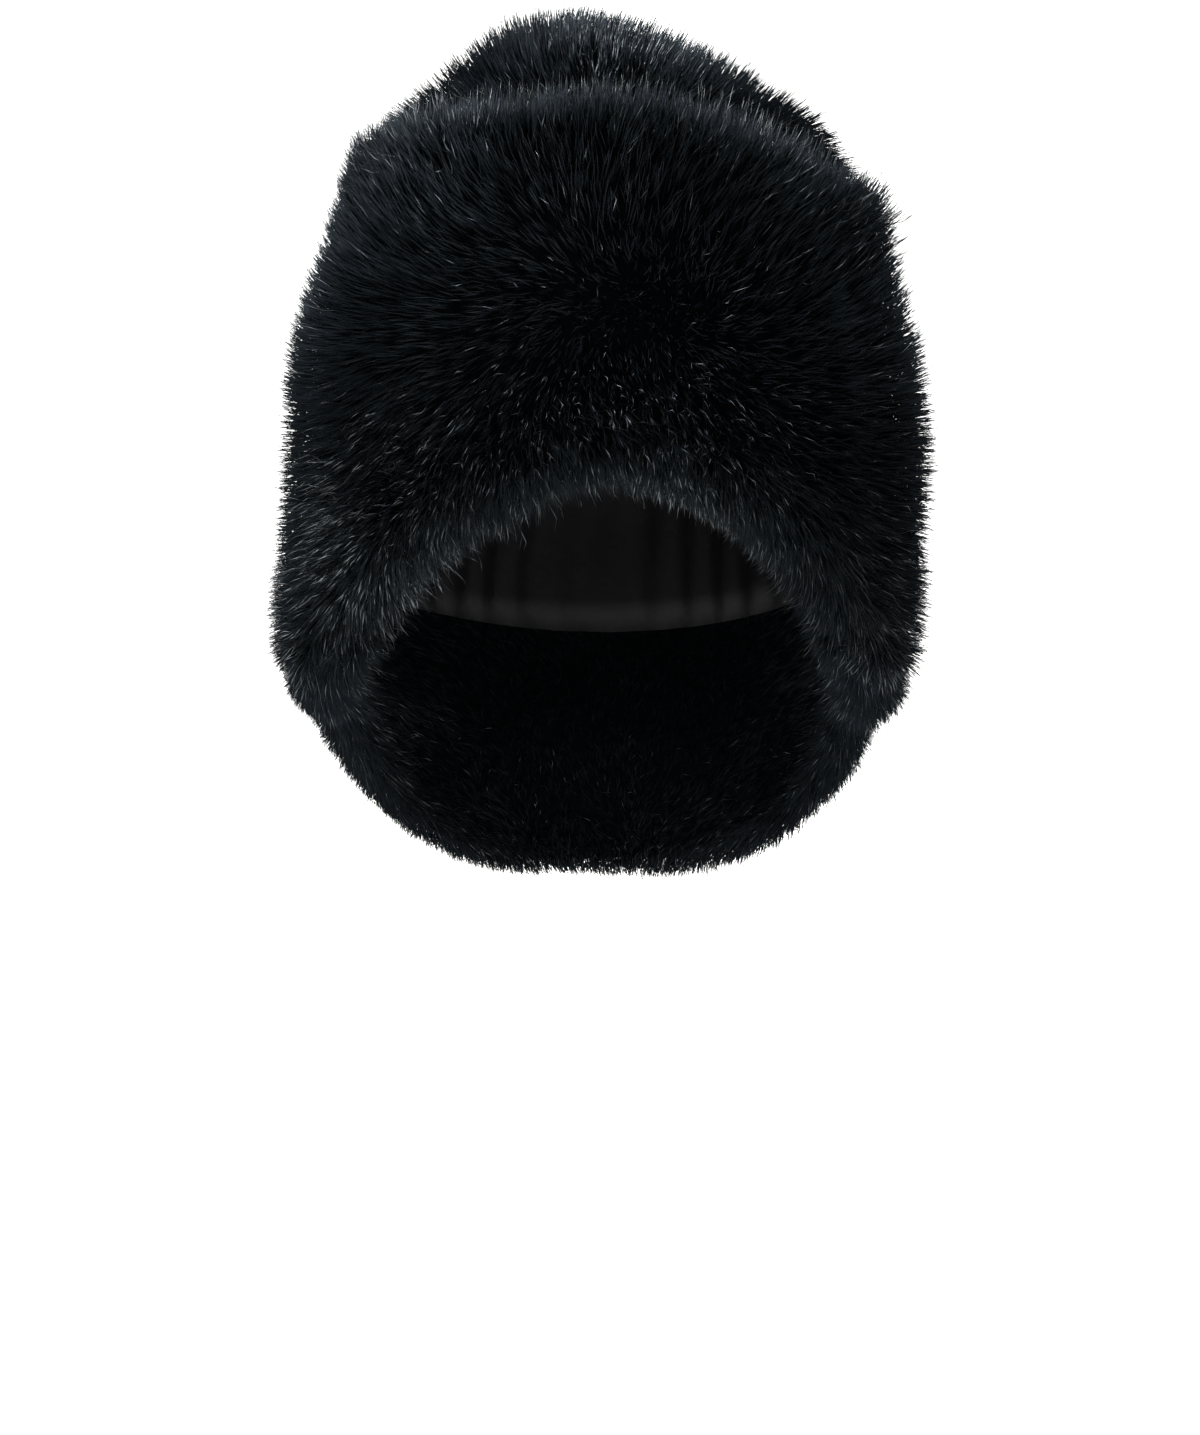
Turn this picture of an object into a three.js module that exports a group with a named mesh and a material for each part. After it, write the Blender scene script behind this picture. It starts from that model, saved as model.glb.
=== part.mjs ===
// Faux fur winter hat with a turned-up front flap and a deep neck flap.
// Millimetres, +Z up. The hat faces -Y, and the origin is inside the top of
// the crown, where the hat rests on its wearer. Angles go round the hat in
// degrees, from 0 at the front, over +X at 90, to 180 at the back.
import * as THREE from 'three';

const CROWN_WALL = 16;        // backing, wadding and pile together
const COVERED_WALL = 4;       // crown front, bare cloth where the flap covers it
const NECK_WALL = 24;         // neck flap, pile on its two faces
const FLAP_PAD = 20;          // front flap at its middle
const FLAP_EDGE_PAD = 2.5;    // front flap where it dies out at the sides
const FLAP_HALF_SPAN = 80;    // degrees each side of the front
const FLAP_SIDE_END = 77;     // degrees, last section of the front flap
const NECK_START = 50.5;      // degrees, front end of the neck flap
const FOLD_END = 50;          // degrees, where the folded front edge ends
const FOLD_INSET = 20;        // how far the fold turns in under the crown
const SEAM_SIDE = -150;       // height of the crown's lower edge at the sides
const SEAM_RISE = 46;         // it is this much higher in front, lower behind
const GAP = 0.5;              // clearance between sewn pieces

const CREST_RISE = 3;         // low crest along the top, from front to back
const CREST_WIDTH = 24;
const TROUGH_DEPTH = 4;       // shallow hollow along each side of the crest
const TROUGH_SIDE = 52;
const TROUGH_WIDTH = 16;

const LOCK_DEPTH = 4.5;       // a lock's tip stands this far above the next root
const LOCK_HANG = 0.22;       // its tip hangs this share of a lock below its row
const PILE_LIFT = 2;          // tips stand this far above the even outer form
const COVERED_DEPTH = 0.5;    // how far the crown draws in where the flap covers it
const CROWN_LOCKS = 9;        // rows of locks, from the top to the seam
const FLAP_LOCKS = 4;
const NECK_LOCKS = 4;
const CROWN_COLUMNS = 68;     // points round the hat, two to each lock
const NECK_COLUMNS = 60;
const LIP_STEPS = 5;          // straight steps in each rounded edge

// Level sections of the outer form. Each is a half ellipse in front and
// another behind, and lean moves it sideways.
const SECTIONS = [
  { height: 14, halfWidth: 0, front: 0, back: 0, lean: -12 },
  { height: 10, halfWidth: 15, front: 20, back: 24, lean: -12 },
  { height: 3, halfWidth: 36, front: 42, back: 48, lean: -9 },
  { height: -8, halfWidth: 64, front: 62, back: 70, lean: -1 },
  { height: -22, halfWidth: 75, front: 76, back: 86, lean: 2 },
  { height: -40, halfWidth: 83, front: 84, back: 99, lean: 3 },
  { height: -62, halfWidth: 91, front: 89, back: 109, lean: 1 },
  { height: -87, halfWidth: 99, front: 93, back: 117, lean: 1 },
  { height: -112, halfWidth: 102.5, front: 95, back: 122, lean: 2 },
  { height: -150, halfWidth: 106, front: 97, back: 124, lean: 0 },
  { height: -177, halfWidth: 109.5, front: 98, back: 121, lean: -2 },
  { height: -205, halfWidth: 110, front: 98, back: 118, lean: -1 },
  { height: -240, halfWidth: 111, front: 98, back: 114, lean: 0 },
  { height: -280, halfWidth: 107, front: 96, back: 109, lean: 0 },
  { height: -325, halfWidth: 95, front: 90, back: 101, lean: 0 },
];

// How far forward the back face of the front flap stands.
const FLAP_STAND = [
  { height: -10, front: 87 },
  { height: -40, front: 91 },
  { height: -87, front: 95 },
  { height: -150, front: 98 },
  { height: -190, front: 98.5 },
];

// Lower edge of the whole hat, from the front to the nape.
const RIM = [
  { angle: -20, height: -134 },
  { angle: 0, height: -122 },
  { angle: 20, height: -134 },
  { angle: 32, height: -147 },
  { angle: 45, height: -166 },
  { angle: 60, height: -186 },
  { angle: 75, height: -200 },
  { angle: 90, height: -212 },
  { angle: 105, height: -239 },
  { angle: 120, height: -270 },
  { angle: 135, height: -294 },
  { angle: 150, height: -306 },
  { angle: 180, height: -312 },
];

// Top edge of the front flap, a little lower on the +X side.
const RIDGE = [
  { angle: -80, height: -38 },
  { angle: -60, height: -32 },
  { angle: -35, height: -31 },
  { angle: -15, height: -29 },
  { angle: 0, height: -28 },
  { angle: 20, height: -34 },
  { angle: 40, height: -42 },
  { angle: 60, height: -46 },
  { angle: 80, height: -48 },
];

// Soft upright creases in the +X half of the front flap.
const CREASES = [
  { topAngle: 34, topHeight: -48, bottomAngle: 46, bottomHeight: -150, width: 5, depth: 4 },
  { topAngle: 46, topHeight: -98, bottomAngle: 58, bottomHeight: -158, width: 4, depth: 3 },
];

// Notches in the lower edge, where the ears' part meets the nape's part.
const NOTCHES = [
  { angle: 97, width: 7, depth: 7 },
  { angle: -92, width: 6, depth: 5 },
];

const radians = THREE.MathUtils.degToRad;

/** Smooth cubic through a table's rows, held at its two end values. */
function smooth(rows, at, value, x) {
  const ascending = rows[0][at] < rows[rows.length - 1][at] ? rows : [...rows].reverse();
  const xs = ascending.map((row) => row[at]);
  const ys = ascending.map((row) => row[value]);
  const last = xs.length - 1;
  const held = Math.min(Math.max(x, xs[0]), xs[last]);
  const step = (i) => xs[i + 1] - xs[i];
  const rise = (i) => (ys[i + 1] - ys[i]) / step(i);
  const slope = (i) => {
    if (i === 0) return rise(0);
    if (i === last) return rise(last - 1);
    return (rise(i - 1) * step(i) + rise(i) * step(i - 1)) / (step(i) + step(i - 1));
  };
  let k = 0;
  while (k < last - 1 && held >= xs[k + 1]) k += 1;
  const t = (held - xs[k]) / step(k);
  const from = ys[k] * (1 + 2 * t) * (1 - t) ** 2 + slope(k) * step(k) * t * (1 - t) ** 2;
  const to = ys[k + 1] * t * t * (3 - 2 * t) + slope(k + 1) * step(k) * t * t * (t - 1);
  return from + to;
}

const ramp = (x, low, high) => THREE.MathUtils.smoothstep(x, low, high);

/** A bump of height 1 at 0 that dies out at distances of about two widths. */
const bump = (x, width) => Math.exp(-((x / width) ** 2));

function seamHeight(angle) {
  return SEAM_SIDE + SEAM_RISE * Math.cos(radians(angle));
}

function rimHeight(angle) {
  const around = ((angle + 540) % 360) - 180;
  const plain = smooth(RIM, 'angle', 'height', Math.abs(around));
  const rises = NOTCHES.map((notch) => notch.depth * bump(around - notch.angle, notch.width));
  return plain + rises.reduce((sum, rise) => sum + rise, 0);
}

function ellipsePoint(angle, height, front) {
  const turn = radians(angle);
  const ahead = Math.cos(turn);
  const reach = ahead > 0 ? front : smooth(SECTIONS, 'height', 'back', height);
  return new THREE.Vector3(
    smooth(SECTIONS, 'height', 'halfWidth', height) * Math.sin(turn)
      + smooth(SECTIONS, 'height', 'lean', height),
    -reach * ahead,
    height,
  );
}

/** The hat's outer form, without the front flap. */
const bodyForm = (angle, height) => (
  ellipsePoint(angle, height, smooth(SECTIONS, 'height', 'front', height)));

/** The upright surface that the front flap leans against. */
const flapForm = (angle, height) => (
  ellipsePoint(angle, height, smooth(FLAP_STAND, 'height', 'front', height)));

/** A point this far out from a form, along the form's own normal. */
function offsetPoint(form, angle, height, out) {
  const here = form(angle, height);
  const across = form(angle + 0.5, height).sub(form(angle - 0.5, height));
  const below = form(angle, height - 0.5).sub(form(angle, height + 0.5));
  const normal = below.cross(across).normalize();
  return here.addScaledVector(normal, out);
}

/** Overlapping locks: each rises from its root to its tip, then drops. */
function lockRelief(across, along) {
  const row = Math.floor(along);
  const place = across + (row % 2 === 0 ? 0 : 0.5);
  const side = 2 * (place - Math.floor(place)) - 1;
  const rounded = 1 - 0.75 * side * side;
  return LOCK_DEPTH * (rounded * (along - row) - 1);
}

/**
 * Levels down a face with three to each lock: root, middle and tip. The rows
 * of locks wander up and down round the hat, and each lock's tip hangs below
 * the gaps beside it, but the face's two ends stay put.
 */
function lockLevels(locks, angle, column) {
  const turn = radians(angle);
  const wander = 0.25 * Math.sin(5 * turn + 1) + 0.2 * Math.sin(13 * turn);
  const level = (value, edge) => {
    const share = value / locks;
    const hang = edge === null ? 0 : LOCK_HANG * ((column + edge) % 2 === 0 ? 1 : -1);
    return { level: value, share: share + ((wander + hang) * Math.sin(Math.PI * share)) / locks };
  };
  return Array.from({ length: locks }, (_, row) => [
    level(row + 0.03, row),
    level(row + 0.5, null),
    level(row + 0.97, row + 1),
  ]).flat();
}

/** One closed mesh from points and triangles, with its faces pointing out. */
function closedMesh(name, points, triangles, material) {
  let volume = 0;
  triangles.forEach(([a, b, c]) => {
    volume += points[a].dot(new THREE.Vector3().crossVectors(points[b], points[c]));
  });
  const order = volume > 0 ? triangles : triangles.map(([a, b, c]) => [a, c, b]);
  const geometry = new THREE.BufferGeometry();
  const positions = points.flatMap((point) => [point.x, point.y, point.z]);
  geometry.setAttribute('position', new THREE.Float32BufferAttribute(positions, 3));
  geometry.setIndex(order.flat());
  geometry.computeVertexNormals();
  const mesh = new THREE.Mesh(geometry, material);
  mesh.name = name;
  return mesh;
}

/** Two triangles for each cell between one closed ring of points and the next. */
function ringTriangles(rings, columns) {
  const triangles = [];
  for (let i = 0; i < rings - 1; i += 1) {
    for (let j = 0; j < columns; j += 1) {
      const a = i * columns + j;
      const b = i * columns + ((j + 1) % columns);
      triangles.push([a, a + columns, b], [b, a + columns, b + columns]);
    }
  }
  return triangles;
}

/** The end face of a swept piece, wound with its ring or against it. */
function endTriangles(ring, first, against) {
  const outline = ring.map((point) => new THREE.Vector2(Math.hypot(point.x, point.y), point.z));
  return THREE.ShapeUtils.triangulateShape(outline, []).map((corners) => {
    const [a, b, c] = [...corners].sort((i, j) => i - j).map((i) => first + i);
    return against ? [a, c, b] : [a, b, c];
  });
}

/** A ring section carried from angle to angle, closed at both ends. */
function sweptPiece(name, angles, section, material) {
  const rings = angles.map((angle, index) => section(angle, index));
  const count = rings[0].length;
  const last = rings.length - 1;
  const triangles = [
    ...ringTriangles(rings.length, count),
    ...endTriangles(rings[0], 0, false),
    ...endTriangles(rings[last], last * count, true),
  ];
  return closedMesh(name, rings.flat(), triangles, material);
}

const evenly = (from, to, steps) => (
  Array.from({ length: steps + 1 }, (_, i) => from + ((to - from) * i) / steps));

/** Turns of a half circle, without its two ends, for a rounded edge. */
const lipSwings = evenly(0, Math.PI, LIP_STEPS).slice(1, LIP_STEPS);

function ridgeHeight(angle) {
  return smooth(RIDGE, 'angle', 'height', angle);
}

function flapLowHeight(angle) {
  const lift = ramp(Math.abs(angle), FOLD_END, FLAP_HALF_SPAN);
  return THREE.MathUtils.lerp(rimHeight(angle), SEAM_SIDE - 4, lift);
}

/** Share of the crown that is bare cloth: 1 behind the flap, 0 elsewhere. */
function coveredShare(angle, height) {
  const aside = 1 - ramp(Math.abs(angle), 35, FLAP_HALF_SPAN);
  return aside * ramp(ridgeHeight(angle) - height, 0, 14);
}

/**
 * Crown: a deep dome with a low crest running from front to back, open below.
 * Its wall is thick fur, and thin cloth where the front flap covers it.
 */
function makeCrown(material) {
  const angles = evenly(-180, 180, CROWN_COLUMNS).slice(0, CROWN_COLUMNS);
  const [pole] = SECTIONS;
  const heightAt = (angle, share) => (
    THREE.MathUtils.lerp(pole.height, seamHeight(angle), share ** 1.6));
  const crest = (angle, height) => {
    const { x } = bodyForm(angle, height);
    const trough = TROUGH_DEPTH * bump(Math.abs(x) - TROUGH_SIDE, TROUGH_WIDTH);
    return ramp(height, -45, -5) * (CREST_RISE * bump(x, CREST_WIDTH) - trough);
  };
  const ring = (pointAt) => angles.map(pointAt);
  const levelsAt = angles.map((angle, i) => lockLevels(CROWN_LOCKS, angle, i));
  const outer = levelsAt[0].map((_, row) => ring((angle, i) => {
    const { level, share } = levelsAt[i][row];
    const height = heightAt(angle, share);
    const hidden = Math.abs(angle) < FLAP_HALF_SPAN + 2 && height < ridgeHeight(angle) + 4;
    const relief = hidden ? -COVERED_DEPTH : lockRelief(i / 2, level) + PILE_LIFT;
    return offsetPoint(bodyForm, angle, height, relief + crest(angle, height));
  }));
  const seam = ring((angle) => offsetPoint(bodyForm, angle, seamHeight(angle), -COVERED_DEPTH));
  const inner = evenly(1, 0.12, CROWN_LOCKS - 1).map((share) => ring((angle) => {
    const height = heightAt(angle, share);
    const wall = THREE.MathUtils.lerp(CROWN_WALL, COVERED_WALL, coveredShare(angle, height));
    return offsetPoint(bodyForm, angle, height, -wall);
  }));
  const rings = [...outer, seam, ...inner];
  const points = rings.flat();
  const outerPole = points.push(new THREE.Vector3(pole.lean, 0, pole.height + PILE_LIFT)) - 1;
  const innerPole = points.push(new THREE.Vector3(pole.lean, 0, pole.height - CROWN_WALL)) - 1;
  const triangles = ringTriangles(rings.length, CROWN_COLUMNS);
  const last = (rings.length - 1) * CROWN_COLUMNS;
  for (let j = 0; j < CROWN_COLUMNS; j += 1) {
    const next = (j + 1) % CROWN_COLUMNS;
    triangles.push([outerPole, j, next], [last + j, innerPole, last + next]);
  }
  return closedMesh('crown', points, triangles, material);
}

/** Thickness of the front flap: full in front, dying out at the sides. */
function flapPad(angle, height) {
  const side = (1 - (angle / FLAP_HALF_SPAN) ** 2) ** 1.7;
  const down = (ridgeHeight(angle) - height) / (ridgeHeight(angle) - flapLowHeight(angle));
  const belly = 0.86 + 0.56 * down * (1 - down);
  return FLAP_EDGE_PAD + FLAP_PAD * side * belly;
}

function creaseDepth(angle, height) {
  return CREASES.reduce((sum, crease) => {
    const share = (height - crease.topHeight) / (crease.bottomHeight - crease.topHeight);
    const middle = THREE.MathUtils.lerp(crease.topAngle, crease.bottomAngle, share);
    const along = ramp(share, -0.12, 0.15) * (1 - ramp(share, 0.8, 1.15));
    return sum + crease.depth * along * bump(angle - middle, crease.width);
  }, 0);
}

/**
 * Front flap: a padded fur panel folded up from the front edge. The fold
 * turns in under the crown, and the free top edge stands off the dome.
 */
function makeFrontFlap(material) {
  const side = evenly(FOLD_END + 0.2, FLAP_SIDE_END, 7);
  const middle = evenly(0.8 - FOLD_END, FOLD_END - 0.8, 24);
  const angles = [...side.map((angle) => -angle).reverse(), ...middle, ...side];
  const section = (angle, index) => {
    const folded = Math.abs(angle) < FOLD_END;
    const top = ridgeHeight(angle);
    const low = flapLowHeight(angle);
    const seam = seamHeight(angle) - GAP;
    const pad = (height) => flapPad(angle, height) - creaseDepth(angle, height);
    const topRound = 0.55 * pad(top - 8);
    const inset = folded ? FOLD_INSET : -GAP - 1;
    const underSeam = folded ? seam - low - 2 : Infinity;
    const lowRound = Math.min(0.45 * (pad(low + 8) + inset), underSeam);
    const outerTop = top - topRound;
    const outerLow = low + lowRound;
    const innerLow = Math.max(seam, outerLow + 2);
    const at = (height, out) => offsetPoint(flapForm, angle, height, out);
    const round = (height, depth, from, to) => lipSwings.map((swing) => (
      at(height + depth * Math.sin(swing), (from + to) / 2 + ((from - to) / 2) * Math.cos(swing))));
    const face = lockLevels(FLAP_LOCKS, angle, index).map(({ level, share }) => {
      const height = THREE.MathUtils.lerp(outerTop, outerLow, share);
      const relief = lockRelief(index / 2, level) + PILE_LIFT;
      return at(height, pad(height) + relief * ramp(pad(height), FLAP_EDGE_PAD, FLAP_PAD / 2));
    });
    const foldSide = evenly(outerLow, innerLow, 2).map((height) => at(height, -inset));
    const back = evenly(innerLow, outerTop, 3 * FLAP_LOCKS - 3).map((height) => at(height, GAP));
    return [
      ...face,
      ...round(outerLow, -lowRound, pad(outerLow), -inset),
      ...foldSide,
      ...back,
      ...round(outerTop, topRound, GAP, pad(outerTop)),
    ];
  };
  return sweptPiece('front_flap', angles, section, material);
}

/**
 * Neck flap: one U-shaped fur wall that hangs from the crown's seam, over the
 * ears and low round the nape, with a round lower edge and pile inside too.
 */
function makeNeckFlap(material) {
  const angles = evenly(NECK_START, 360 - NECK_START, NECK_COLUMNS);
  const section = (angle, index) => {
    const top = seamHeight(angle) - 2 * GAP;
    const low = rimHeight(angle) + NECK_WALL / 2;
    const wall = (height) => {
      const share = (top - height) / (top - low);
      return THREE.MathUtils.lerp(CROWN_WALL, NECK_WALL, ramp(share, 0, 0.6));
    };
    const behindFlap = ramp(180 - Math.abs(angle - 180), FLAP_HALF_SPAN, FLAP_HALF_SPAN + 8);
    const outer = lockLevels(NECK_LOCKS, angle, index).map(({ level, share }) => {
      const height = THREE.MathUtils.lerp(top, low, share);
      const relief = lockRelief(index / 2, level) + PILE_LIFT;
      const out = THREE.MathUtils.lerp(-COVERED_DEPTH, relief, behindFlap);
      return offsetPoint(bodyForm, angle, height, out);
    });
    const lip = lipSwings.map((swing) => {
      const out = (NECK_WALL / 2) * (Math.cos(swing) - 1);
      return offsetPoint(bodyForm, angle, low - (NECK_WALL / 2) * Math.sin(swing), out);
    });
    const inner = evenly(low, top, 3 * NECK_LOCKS - 1)
      .map((height) => offsetPoint(bodyForm, angle, height, -wall(height)));
    return [...outer, ...lip, ...inner];
  };
  return sweptPiece('neck_flap', angles, section, material);
}

const fur = (color) => new THREE.MeshStandardMaterial({ color, roughness: 0.9, metalness: 0 });

const hat = new THREE.Group();
hat.add(
  makeCrown(fur(0x17191c)),
  makeFrontFlap(fur(0x141619)),
  makeNeckFlap(fur(0x121417)),
);

export default hat;
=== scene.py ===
"""Near-black faux fur winter hat with a turned-up front flap and a deep neck flap.

The hat faces -Y and +Z is up. Its sizes are in millimetres, and MM turns them to metres. The
floor, the lamps and the camera are in metres. Angles go round the hat in degrees, from 0 at the
front, over +X at 90, to 180 at the back.
"""

import bpy
import numpy as np
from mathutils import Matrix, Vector


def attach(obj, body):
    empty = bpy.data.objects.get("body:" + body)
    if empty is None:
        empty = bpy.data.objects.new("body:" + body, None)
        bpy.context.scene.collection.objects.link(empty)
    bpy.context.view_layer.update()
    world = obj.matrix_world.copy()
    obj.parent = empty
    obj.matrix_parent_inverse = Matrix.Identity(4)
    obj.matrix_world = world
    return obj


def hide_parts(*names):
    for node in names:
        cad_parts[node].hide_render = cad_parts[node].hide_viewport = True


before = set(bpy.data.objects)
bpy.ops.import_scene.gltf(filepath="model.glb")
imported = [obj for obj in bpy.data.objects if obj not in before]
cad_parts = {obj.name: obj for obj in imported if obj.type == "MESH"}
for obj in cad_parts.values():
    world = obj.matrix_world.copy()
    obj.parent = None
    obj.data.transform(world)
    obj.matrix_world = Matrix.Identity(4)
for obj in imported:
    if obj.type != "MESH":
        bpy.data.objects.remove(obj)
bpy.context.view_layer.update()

# Crown backing: the deep padded dome that the pile stands on, knitted cloth over wadding.
# It is sewn from gores that the pile hides, so its form is a stack of level ovals, and its
# lower edge, high in front and low behind, is the seam that carries the neck flap.
MM = 0.001
SECTIONS = np.array(
    [
        (14, 0, 0, 0, -12),
        (10, 15, 20, 24, -12),
        (3, 36, 42, 48, -9),
        (-8, 64, 62, 70, -1),
        (-22, 75, 76, 86, 2),
        (-40, 83, 84, 99, 3),
        (-62, 91, 89, 109, 1),
        (-87, 99, 93, 117, 1),
        (-112, 102.5, 95, 122, 2),
        (-150, 106, 97, 124, 0),
        (-177, 109.5, 98, 121, -2),
        (-205, 110, 98, 118, -1),
        (-240, 111, 98, 114, 0),
        (-280, 107, 96, 109, 0),
        (-325, 95, 90, 101, 0),
    ],
    dtype=[(name, float) for name in ("height", "half_width", "front", "back", "lean")],
)
RIDGE = np.array(
    [
        (-80, -38), (-60, -32), (-35, -31), (-15, -29), (0, -28),
        (20, -34), (40, -42), (60, -46), (80, -48),
    ],
    dtype=[("angle", float), ("height", float)],
)
SEAM_SIDE = -150      # height of the seam at the sides
SEAM_RISE = 46        # it is this much higher in front, lower behind
CROWN_WALL = 16       # backing, wadding and pile together
COVERED_WALL = 4      # the crown's front, bare cloth behind the front flap
COVERED_DROP = 14     # the pile stops within this height below the flap's top edge
PILE_DEPTH = 7        # the backing lies this far below the outer form
LINING_THICK = 1.2    # room in the wall for the lining
LINING_GAP = 0.3      # between the lining's room and the backing
TOP_CLOSE = 0.012     # the top closes this share of the way down to the seam
DOWN_POWER = 1.6      # rows open out from the top as this power of the way down
CREST_RISE = 3        # low crest along the top, from front to back
CREST_HEIGHTS = (-45, -5)
CREST_WIDTH = 24
TROUGH_DEPTH = 4      # shallow hollow along each side of the crest
TROUGH_SIDE = 52
TROUGH_WIDTH = 16
BACKING_COLOUR = "#030405"
UNDERFUR_WIDTH = 0.6  # a streak of the underfur, coarser than a fibre so that it shows


def smooth(rows, at, value, x):
    """Smooth cubic through a table's rows: each stretch starts and ends on its rows' values and
    slopes, a row's slope is the mean of the two beside it, and the ends are held."""
    rows = np.sort(rows, order=at)
    xs, ys = rows[at], rows[value]
    step = np.diff(xs)
    rise = np.diff(ys) / step
    inner = (rise[:-1] * step[1:] + rise[1:] * step[:-1]) / (step[1:] + step[:-1])
    slope = np.concatenate([rise[:1], inner, rise[-1:]])
    x = np.clip(x, xs[0], xs[-1])
    k = np.clip(np.searchsorted(xs, x, side="right") - 1, 0, len(step) - 1)
    t = (x - xs[k]) / step[k]
    start = ys[k] * (1 + 2 * t) * (1 - t) ** 2 + slope[k] * step[k] * t * (1 - t) ** 2
    end = ys[k + 1] * t * t * (3 - 2 * t) + slope[k + 1] * step[k] * t * t * (t - 1)
    return start + end


def ramp(x, low, high):
    """0 below low, 1 above high, and between them an S-shaped rise: three times the square of the
    share of the way, less twice its cube."""
    t = np.clip((x - low) / (high - low), 0, 1)
    return t * t * (3 - 2 * t)


def bump(x, width):
    """A bump of height 1 at 0: e to the power of minus the square of x over the width. It dies
    out about two widths away."""
    return np.exp(-((x / width) ** 2))


def lerp(low, high, share):
    """The value this share of the way from low to high."""
    return low + (high - low) * share


def form_point(stand, angle, height):
    """Point of the even outer form: half an ellipse in front, as far as the table stand says,
    another half behind, both as wide as the section, moved sideways by its lean."""
    angle, height = np.broadcast_arrays(angle, height)
    ahead = np.cos(np.radians(angle))
    front = smooth(stand, "height", "front", height)
    back = smooth(SECTIONS, "height", "back", height)
    side = smooth(SECTIONS, "height", "half_width", height) * np.sin(np.radians(angle))
    lean = smooth(SECTIONS, "height", "lean", height)
    return np.stack([side + lean, -np.where(ahead > 0, front, back) * ahead, height], axis=-1)


def unit(vectors):
    """The same directions, each with length 1."""
    return vectors / np.maximum(np.linalg.norm(vectors, axis=-1, keepdims=True), 1e-9)


def off_form(stand, angle, height, out):
    """Point this far out from the form, along the cross product of its slopes down and round."""
    across = form_point(stand, angle + 0.5, height) - form_point(stand, angle - 0.5, height)
    below = form_point(stand, angle, height - 0.5) - form_point(stand, angle, height + 0.5)
    return form_point(stand, angle, height) + np.asarray(out)[..., None] * unit(np.cross(below, across))


def seam_height(angle):
    """Height of the crown's lower edge: a cosine round the hat, high in front."""
    return SEAM_SIDE + SEAM_RISE * np.cos(np.radians(angle))


def from_front(angle):
    """The same angle counted both ways from the front, from -180 to 180."""
    return (angle + 540) % 360 - 180


def ridge_height(angle):
    """Height of the front flap's free top edge."""
    return smooth(RIDGE, "angle", "height", angle)


def covered_share(angle, height):
    """Share of the crown that is bare cloth: 1 behind the front flap, dying out between 35 and
    80 degrees round and towards the flap's top edge, 0 elsewhere."""
    aside = 1 - ramp(np.abs(angle), 35, 80)
    return aside * ramp(ridge_height(angle) - height, 0, COVERED_DROP)


def crown_height(angle, down):
    """Height of a place on the crown: down runs from 0 at the top to 1 at the seam, and the
    heights open out from the top as a power of it."""
    top = SECTIONS["height"].max()
    return top + (seam_height(angle) - top) * down**DOWN_POWER


def crown_face(angle, down, sunk):
    """Point of the crown, sunk this far below its outer form, with the crest and the hollow on
    each side of it added to the even form. Bare cloth is sunk to a seventh of the depth, and
    the fibres' roots below it aren't."""
    height = crown_height(angle, np.clip(down, TOP_CLOSE, 1))
    x = form_point(SECTIONS, angle, height)[..., 0]
    trough = TROUGH_DEPTH * bump(np.abs(x) - TROUGH_SIDE, TROUGH_WIDTH)
    crest = ramp(height, *CREST_HEIGHTS) * (CREST_RISE * bump(x, CREST_WIDTH) - trough)
    depth = sunk * lerp(1, 1 / PILE_DEPTH, covered_share(angle, height) * (sunk <= PILE_DEPTH))
    return off_form(SECTIONS, angle, height, crest - depth)


def crown_inside(angle, down, sunk):
    """Point of the crown's inner wall, this far further in than the wadding. It can run a
    little past the seam, to a down of 1.02."""
    height = crown_height(angle, np.clip(down, TOP_CLOSE, 1.02))
    wall = lerp(CROWN_WALL, COVERED_WALL, covered_share(angle, height))
    return off_form(SECTIONS, angle, height, -wall + LINING_THICK - sunk)


def linear(hex_colour, alpha=1.0):
    """An sRGB hex colour as the linear values that a shader socket takes: a straight line for
    the darkest values and a power of 2.4 for the others."""
    channels = np.array([int(hex_colour[i : i + 2], 16) for i in (1, 3, 5)]) / 255
    dark = channels / 12.92
    light = ((channels + 0.055) / 1.055) ** 2.4
    return (*np.where(channels <= 0.04045, dark, light), alpha)


def add_node(tree, kind, links=(), **settings):
    """Add one node: settings name its properties or, with a capital first, its input sockets,
    and links pairs an input socket with the output that feeds it."""
    node = tree.nodes.new(kind)
    for name, value in settings.items():
        socket = name.replace("_", " ")
        if name[0].isupper() and socket in node.inputs:
            node.inputs[socket].default_value = value
        else:
            setattr(node, name, value)
    for name, source in links:
        tree.links.new(node.inputs[name], source)
    return node


def new_material(name):
    """An empty node material and its tree."""
    material = bpy.data.materials.new(name)
    material.use_nodes = True
    material.node_tree.nodes.clear()
    return material, material.node_tree


def knitted_backing():
    """Knitted polyester backing seen between the fibres: near black and dull, because the short
    dense underfur on it swallows the light. The underfur is drawn as fine streaks in its bump."""
    material, tree = new_material("knitted_backing_with_underfur")
    place = add_node(tree, "ShaderNodeTexCoord")
    streaks = add_node(
        tree,
        "ShaderNodeTexNoise",
        [("Vector", place.outputs["Object"])],
        Scale=1 / (UNDERFUR_WIDTH * MM),
        Detail=3.0,
        Roughness=0.6,
    )
    relief = add_node(
        tree, "ShaderNodeBump", [("Height", streaks.outputs["Fac"])], Strength=0.8, Distance=1.0 * MM
    )
    shader = add_node(
        tree,
        "ShaderNodeBsdfPrincipled",
        [("Normal", relief.outputs["Normal"])],
        Base_Color=linear(BACKING_COLOUR),
        Roughness=0.85,
        Specular_IOR_Level=0.0,
    )
    add_node(tree, "ShaderNodeOutputMaterial", [("Surface", shader.outputs["BSDF"])])
    return material


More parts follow.
